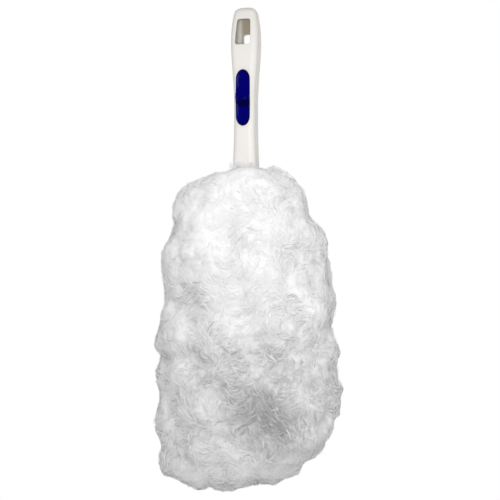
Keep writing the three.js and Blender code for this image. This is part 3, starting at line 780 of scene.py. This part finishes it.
# Height that the listed edges add where the fleece faces left, right or down in the camera's view
def edgeHeights(grid, normal):
    across = normal @ np.array(right)
    facing = {"left": -across, "right": across, "foot": -normal[..., 2]}
    height = np.zeros(across.shape)
    for edge in edges:
        along = grid @ np.array(right) if edge["side"] == "foot" else grid[..., 2]
        share = np.clip(facing[edge["side"]], 0, 1) ** 2
        height += edge["out"] * share * np.exp(-(((along - edge["at"]) / edge["reach"]) ** 2))
    return height


# Painted shade of the listed places alone; a minus is painted light
def spotShade(grid, normal):
    front = np.clip(-normal[..., 1], 0, 1)
    grey = np.zeros(front.shape)
    for spot in paintedShades:
        across = (grid[..., 0] - spot["across"]) / spot["reach"][0]
        up = (grid[..., 2] - spot["up"]) / spot["reach"][1]
        grey += spot["grey"] * front * np.exp(-(across**2) - up**2)
    return grey


def fleeceGrid():
    grid = pileGrid()
    normal, area = gridSlopes(grid)[2:]
    clumps = domes(grid, fleece["clumps"], fleece["clumpSize"], fleece["clumpHeight"], area)
    lumps = domes(grid, fleece["lumps"], fleece["lumpSize"], fleece["lumpHeight"], area)
    relief = 1 + fleece["calm"] * spotShade(grid, normal)  # less in pale places, as they are more even
    tufts = (clumps + lumps - fleece["sink"]) * np.clip(relief, fleece["leastRelief"], 1)
    height = tufts + edgeHeights(grid, normal)
    return smoothGrid(grid + normal * height[..., None], fleece["reliefPasses"])


grid = fleeceGrid()
rows, around = grid.shape[:2]
upRows, alongRow, normals, areas = gridSlopes(grid)
print("fleece grid", rows, around)


# Painted shade of the fleece: darker by its depth below the general level, as shade in its creases and
# hollows, and at the listed places
def shadeTable():
    level = smoothGrid(grid, fleece["levelPasses"])
    return fleece["hollowGrey"] * ((level - grid) * normals).sum(2) + spotShade(grid, normals)


paintedShading = shadeTable()


def makeCore():
    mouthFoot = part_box("mouth_binding")[0].z - fleece["spare"]
    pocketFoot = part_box("sleeve_lining")[0].z - fleece["spare"]
    steps = [
        (neckReach, fleece["neckFoot"]),
        (mouthReach, fleece["neckFoot"] - fleece["spare"]),
        (mouthReach, mouthFoot),
        (pocketReach, mouthFoot - fleece["spare"]),
        (pocketReach, pocketFoot),
    ]
    skin = grid - normals * fleece["under"]  # just under the strands
    rings = np.concatenate([skin, [openingRing(reach, z) for reach, z in steps]])
    count = len(rings)
    faces = []
    for i in range(count - 1):
        lower = i * around
        upper = lower + around
        for j in range(around):
            k = (j + 1) % around
            faces.append((lower + j, lower + k, upper + k, upper + j))
    faces.append(tuple(reversed(range(around))))
    faces.append(tuple(range((count - 1) * around, count * around)))
    core = smoothPiece("fleece_core", rings.reshape(-1, 3), faces)
    core.data.materials.append(ground)
    tint = np.full(count * around, fleece["tint"])
    # painted shade of creases, hollows and listed places; a minus is painted light
    tint[: paintedShading.size] -= paintedShading.ravel()
    layer = core.data.attributes.new("tint", "FLOAT", "POINT")
    layer.data.foreach_set("value", np.clip(tint, 0, 1).astype(np.float32))
    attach(core, "sleeve")
    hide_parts("pile_front", "pile_rear")
    print("fleece core", len(faces), "faces")


makeCore()

# Fibre: a coat of short strands lying on the core, and wisps that stand a little clear of it
coat = {
    "name": "fleece_coat",
    "locks": 24000,
    "strands": 3,
    "points": 5,
    "length": (0.0045, 0.011),
    "lift": (0.0001, 0.0009),
    "spread": 0.0004,
    "slip": 0.0012,
    "thick": (0.00012, 0.00027),
    "flat": 0.3,
    "patchy": 0.0,
    "offRim": 3,
    "stray": 0.55,
    "tint": (0.90, 0.14),
    "strandTint": 0.18,
    "flecks": 0.007,
}
wisps = {
    "name": "fleece_wisps",
    "locks": 5200,
    "strands": 5,
    "points": 7,
    "length": (0.0055, 0.014),
    "lift": (0.0005, 0.0019),
    "spread": 0.00032,
    "slip": 0.002,
    "thick": (0.00011, 0.00026),
    "flat": 0.4,
    "patchy": 0.7,
    "offRim": 8,
    "stray": 0.5,
    "tint": (0.92, 0.18),
    "strandTint": 0.18,
    "flecks": 0.018,
}
brow = {
    "name": "fleece_brow",
    "locks": 16,
    "strands": 14,
    "points": 6,
    "length": (0.004, 0.008),
    "spread": 0.0011,
    "thick": (0.00010, 0.00022),
    "flat": 0.6,
    "tint": (0.9, 0.05),
    "strandTint": 0.05,
    "flecks": 0.0,
    "rootZ": -0.1225,
    "halfWidth": 0.011,
    "ahead": (0.0006, 0.0028),
    "lean": 0.5,
    "leanPower": 1.5,
    "lengthShare": (0.6, 1),
}
flow = {
    "waves": 26,
    "waveLength": (0.04, 0.11),
    "turn": 1.8,
    "rear": 0.15,
    "patchWaves": 9,
    "patchRange": (0.1, 3),
    "mostRows": 4,
    "mostColumns": 8,
}
strand = {
    "archPower": 0.8,
    "rootSpread": 1.1,
    "spreadLoss": 0.6,
    "sway": 0.0005,
    "swayTurn": 6,
    "asideToUp": 3,
    "taper": (0.35, 0.65),
    "fleckDrop": 0.8,
    "unevenBy": 3,
    "unevenRange": (0.3, 1.1),
    "cell": (0.1, 0.8),
    "pieceFaces": 180000,
}


# Which way the fibre lies: down the pile, turned by a smooth random angle
class Flow:
    def __init__(self):
        direction = random.normal(size=(flow["waves"], 3))
        direction /= np.linalg.norm(direction, axis=1, keepdims=True)
        length = random.uniform(*flow["waveLength"], flow["waves"])
        self.wave = direction * (2 * math.pi / length)[:, None]
        self.phase = random.uniform(0, 2 * math.pi, flow["waves"])

    def along(self, place, normal, stray):
        height = np.cos(place @ self.wave.T + self.phase).sum(1) / math.sqrt(flow["waves"] / 2)
        angle = (flow["turn"] * height + stray)[:, None]
        fall = np.array((0, flow["rear"], -1))
        down = fall - normal * (normal @ fall)[:, None]
        down /= np.linalg.norm(down, axis=1, keepdims=True) + 1e-9
        return down * np.cos(angle) + np.cross(normal, down) * np.sin(angle)


lastRow = rows - 1.001  # just inside the table


# Values of a table of the grid between its points: u counts rows, and v goes round
def lookUp(table, u, v):
    u = np.clip(u, 0, lastRow)
    i = np.floor(u).astype(int)
    j = np.floor(v).astype(int)
    a = (u - i)[:, None]
    b = (v - j)[:, None]
    k = (j + 1) % around
    j = j % around
    low = table[i, j] * (1 - b) + table[i, k] * b
    high = table[i + 1, j] * (1 - b) + table[i + 1, k] * b
    return low * (1 - a) + high * a


lie = Flow()


# Each lock's path walks over the core, and rises and sinks again along its length
def lockPaths(kind):
    count = kind["locks"]
    place = grid[: rows - kind["offRim"]]
    some = slice(flow["patchWaves"])
    patch = np.cos(place.reshape(-1, 3) @ lie.wave[some].T + lie.phase[some]).sum(1) / 2
    density = np.clip(1 + kind["patchy"] * patch, *flow["patchRange"])
    share = areas[: rows - kind["offRim"]].ravel() * density
    picked = random.choice(share.size, count, p=share / share.sum())
    u = picked // around + random.uniform(0, 1, count)
    v = picked % around + random.uniform(0, 1, count)
    # painted shade at the lock's start
    grey = lookUp(paintedShading[..., None], u, v)[:, 0]
    stray = random.normal(0, kind["stray"], count)
    step = random.uniform(*kind["length"], count) / (kind["points"] - 1)
    lift = random.uniform(*kind["lift"], count)
    path = []
    for n in range(kind["points"]):
        place = lookUp(grid, u, v)
        normal = lookUp(normals, u, v)
        normal /= np.linalg.norm(normal, axis=1, keepdims=True)
        along = lie.along(place, normal, stray)
        part = n / (kind["points"] - 1)
        rise = lift * math.sin(math.pi * part ** strand["archPower"])
        path.append((place + normal * rise[:, None], normal, np.cross(normal, along), along))
        move = along * step[:, None]
        pu = lookUp(upRows, u, v)
        pv = lookUp(alongRow, u, v)
        uu = (pu * pu).sum(1)
        uv = (pu * pv).sum(1)
        vv = (pv * pv).sum(1)
        mu = (pu * move).sum(1)
        mv = (pv * move).sum(1)
        whole = np.maximum(uu * vv - uv * uv, 1e-16)
        rowStep = np.clip((mu * vv - mv * uv) / whole, -flow["mostRows"], flow["mostRows"])
        columnStep = np.clip((mv * uu - mu * uv) / whole, -flow["mostColumns"], flow["mostColumns"])
        u = np.clip(u + rowStep, 0, lastRow)
        v = v + columnStep
    return [np.stack(part, 1) for part in zip(*path)] + [grey]


def strandPoints(kind):
    ofLocks = lockPaths(kind)
    place, normal, side, along, grey = [np.repeat(part, kind["strands"], axis=0) for part in ofLocks]
    count = len(place)
    part = np.linspace(0, 1, kind["points"])
    spread = strand["rootSpread"] - strand["spreadLoss"] * part
    aside = random.normal(0, 1, count)[:, None] * kind["spread"] * spread
    sway = random.uniform(0, strand["sway"], count)[:, None]
    phase = random.uniform(0, 2 * math.pi, count)[:, None]
    aside = aside + sway * np.sin(strand["swayTurn"] * part + phase)
    upward = random.normal(0, kind["spread"] / strand["asideToUp"], count)[:, None] * np.sin(math.pi * part)
    slip = random.uniform(-1, 1, count)[:, None] * kind["slip"]
    points = place + side * aside[..., None] + normal * upward[..., None] + along * slip[..., None]
    return points, normal, side, grey


# One strand: a tip, bands between three-cornered rings, and a tip
def strandFaces(inner):
    last = 1 + 3 * inner
    faces = []
    for k in range(3):
        m = (k + 1) % 3
        faces.append((0, 1 + m, 1 + k))
        for i in range(inner - 1):
            a = 1 + 3 * i
            faces.append((a + k, a + m, a + 3 + m, a + 3 + k))
        a = 1 + 3 * (inner - 1)
        faces.append((a + k, a + m, last))
    return faces


def makeFibre(kind, points, normal, side, grey):
    count = len(points)
    inner = kind["points"] - 2
    each = 2 + 3 * inner
    part = np.linspace(0, 1, kind["points"])[1:-1]
    ends, swell = strand["taper"]
    thick = random.uniform(*kind["thick"], count)[:, None] * (ends + swell * np.sin(math.pi * part))
    corner = np.radians([90, 210, 330])
    ring = (
        points[:, 1:-1, None, :]
        + side[:, 1:-1, None, :] * (thick[..., None] * np.cos(corner))[..., None]
        + normal[:, 1:-1, None, :] * (thick[..., None] * np.sin(corner))[..., None] * kind["flat"]
    )
    vertices = np.concatenate([points[:, :1], ring.reshape(count, -1, 3), points[:, -1:]], axis=1)
    locks = count // kind["strands"]
    lockTint = random.normal(0, kind["tint"][1], locks)
    # a few locks darkened as painted shade of the gaps between locks
    lockTint[random.uniform(0, 1, locks) < kind["flecks"]] -= strand["fleckDrop"]  # a few dark locks
    lockTint = np.repeat(lockTint, kind["strands"])
    uneven = np.clip(1 + strand["unevenBy"] * grey, *strand["unevenRange"])  # less in pale places
    strandTint = (lockTint + random.normal(0, kind["strandTint"], count)) * uneven
    # painted shade taken off the strand's tone; a minus is painted light
    shade = kind["tint"][0] + strandTint - grey
    tint = np.repeat(np.clip(shade, 0, 1), each).reshape(count, each)
    faces = strandFaces(inner)
    corners = np.array([c for face in faces for c in face])
    starts = np.cumsum([0] + [len(face) for face in faces])[:-1]
    loops = len(corners)
    perPiece = strand["pieceFaces"] // (6 * inner)
    level = np.array([0] + [1 + i for i in range(inner) for _ in range(3)] + [inner + 1]) / (inner + 1)
    across = np.array([0.5] + [k / 2 for _ in range(inner) for k in range(3)] + [0.5])
    margin, used = strand["cell"]  # of each strand's own cell in the map

    for number, first in enumerate(range(0, count, perPiece)):
        chosen = vertices[first : first + perPiece]
        total = len(chosen)
        mesh = bpy.data.meshes.new(f"{kind['name']}_{number + 1}")
        mesh.vertices.add(total * each)
        mesh.vertices.foreach_set("co", chosen.reshape(-1))
        mesh.loops.add(total * loops)
        mesh.loops.foreach_set("vertex_index", (np.arange(total)[:, None] * each + corners).ravel())
        mesh.polygons.add(total * len(faces))
        mesh.polygons.foreach_set("loop_start", (np.arange(total)[:, None] * loops + starts).ravel())
        mesh.update(calc_edges=True)
        mesh.shade_flat()
        layer = mesh.attributes.new("tint", "FLOAT", "POINT")
        layer.data.foreach_set("value", tint[first : first + total].ravel().astype(np.float32))
        cells = math.ceil(math.sqrt(total))
        cell = np.arange(total)
        mapU = ((cell % cells)[:, None] + margin + used * across[corners]) / cells
        mapV = ((cell // cells)[:, None] + margin + used * level[corners]) / cells
        layer = mesh.uv_layers.new(name="OFBake")
        layer.data.foreach_set("uv", np.stack([mapU, mapV], 2).ravel())
        mesh.validate()
        mesh.materials.append(fibre)
        piece = bpy.data.objects.new(mesh.name, mesh)
        scene.collection.objects.link(piece)
        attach(piece, "sleeve")
    print(kind["name"], count, "strands in", number + 1, "pieces")


# Short locks that stand up from the pile in front of the handle
def browPoints():
    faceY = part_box("handle_front_shell")[0].y
    count = brow["locks"] * brow["strands"]
    part = np.linspace(0, 1, brow["points"])
    root = np.repeat(random.uniform(-1, 1, brow["locks"]) * brow["halfWidth"], brow["strands"])
    lean = np.repeat(random.normal(0, brow["lean"], brow["locks"]), brow["strands"])
    length = np.repeat(random.uniform(*brow["length"], brow["locks"]), brow["strands"])
    length = length * random.uniform(*brow["lengthShare"], count)
    ahead = random.uniform(*brow["ahead"], count)
    root = root + random.normal(0, brow["spread"], count)
    x = root[:, None] + (lean * length)[:, None] * part ** brow["leanPower"]
    y = faceY - ahead[:, None] * (1 + np.sin(math.pi * part)) / 2
    z = brow["rootZ"] + length[:, None] * part
    points = np.stack([x, y, z], 2)
    normal = np.broadcast_to(np.array((0.0, -1, 0)), points.shape)
    side = np.broadcast_to(np.array((1.0, 0, 0)), points.shape)
    return points, normal, side, np.zeros(count)


makeFibre(coat, *strandPoints(coat))
makeFibre(wisps, *strandPoints(wisps))
makeFibre(brow, *browPoints())
